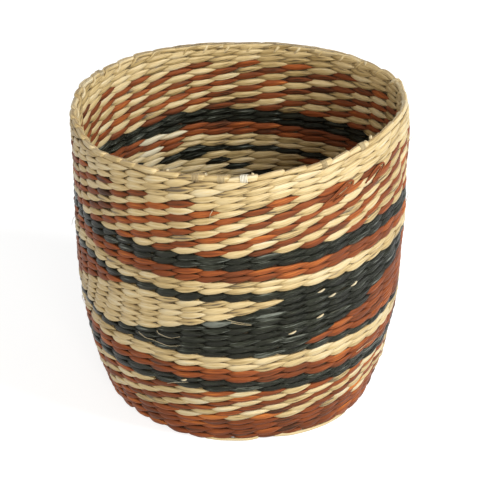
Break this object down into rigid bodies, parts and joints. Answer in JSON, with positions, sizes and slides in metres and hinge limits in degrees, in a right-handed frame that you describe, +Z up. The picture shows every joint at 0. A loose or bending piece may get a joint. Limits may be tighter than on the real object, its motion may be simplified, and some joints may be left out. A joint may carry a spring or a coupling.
{
  "type": "seagrass basket",
  "caption": "Round open storage basket twined from seagrass over upright stakes, with a flat base, gently bellied wall, coloured bands, slanted wedges and a folded border.",
  "frame": {"origin": "centre of the bounding box's bottom face, on the plane that the basket stands on", "axes": "+Z up along the basket's axis; the pictured front faces -Y and +X is to its right"},
  "size_m": [0.2429, 0.244, 0.222],
  "materials": {
    "natural_seagrass": "dry undyed grass, satin, straw to green-grey",
    "mixed_seagrass": "natural and rust-dyed strands twined together, satin",
    "rust_seagrass": "grass dyed red-brown to orange, satin",
    "charcoal_seagrass": "grass dyed charcoal black, soft gloss",
    "stake_grass": "undyed stakes, satin"
  },
  "bodies": {
    "root": {"stake_frame": "stake_grass", "base_underside": "natural_seagrass", "base_floor": "natural_seagrass", "outer_rust_foot": "rust_seagrass", "outer_speckled_lower": "mixed_seagrass", "outer_black_lower": "charcoal_seagrass", "outer_rust_lower": "rust_seagrass", "outer_natural_lower": "natural_seagrass", "outer_black_line_lower": "charcoal_seagrass", "outer_natural_wedge_left": "natural_seagrass", "outer_black_wedge_front": "charcoal_seagrass", "outer_rust_wedge_right": "rust_seagrass", "outer_natural_wedge_right": "natural_seagrass", "outer_black_wedge_back": "charcoal_seagrass", "outer_rust_wedge_left": "rust_seagrass", "outer_black_line_upper": "charcoal_seagrass", "outer_natural_upper": "natural_seagrass", "outer_rust_upper": "rust_seagrass", "outer_black_upper": "charcoal_seagrass", "outer_speckled_upper": "mixed_seagrass", "outer_natural_top": "natural_seagrass", "inner_lower_weft": "natural_seagrass", "inner_black_line_upper": "charcoal_seagrass", "inner_natural_upper": "natural_seagrass", "inner_rust_upper": "rust_seagrass", "inner_black_upper": "charcoal_seagrass", "inner_speckled_upper": "mixed_seagrass", "inner_natural_top": "natural_seagrass", "folded_border": "natural_seagrass"}
  },
  "joints": []
}
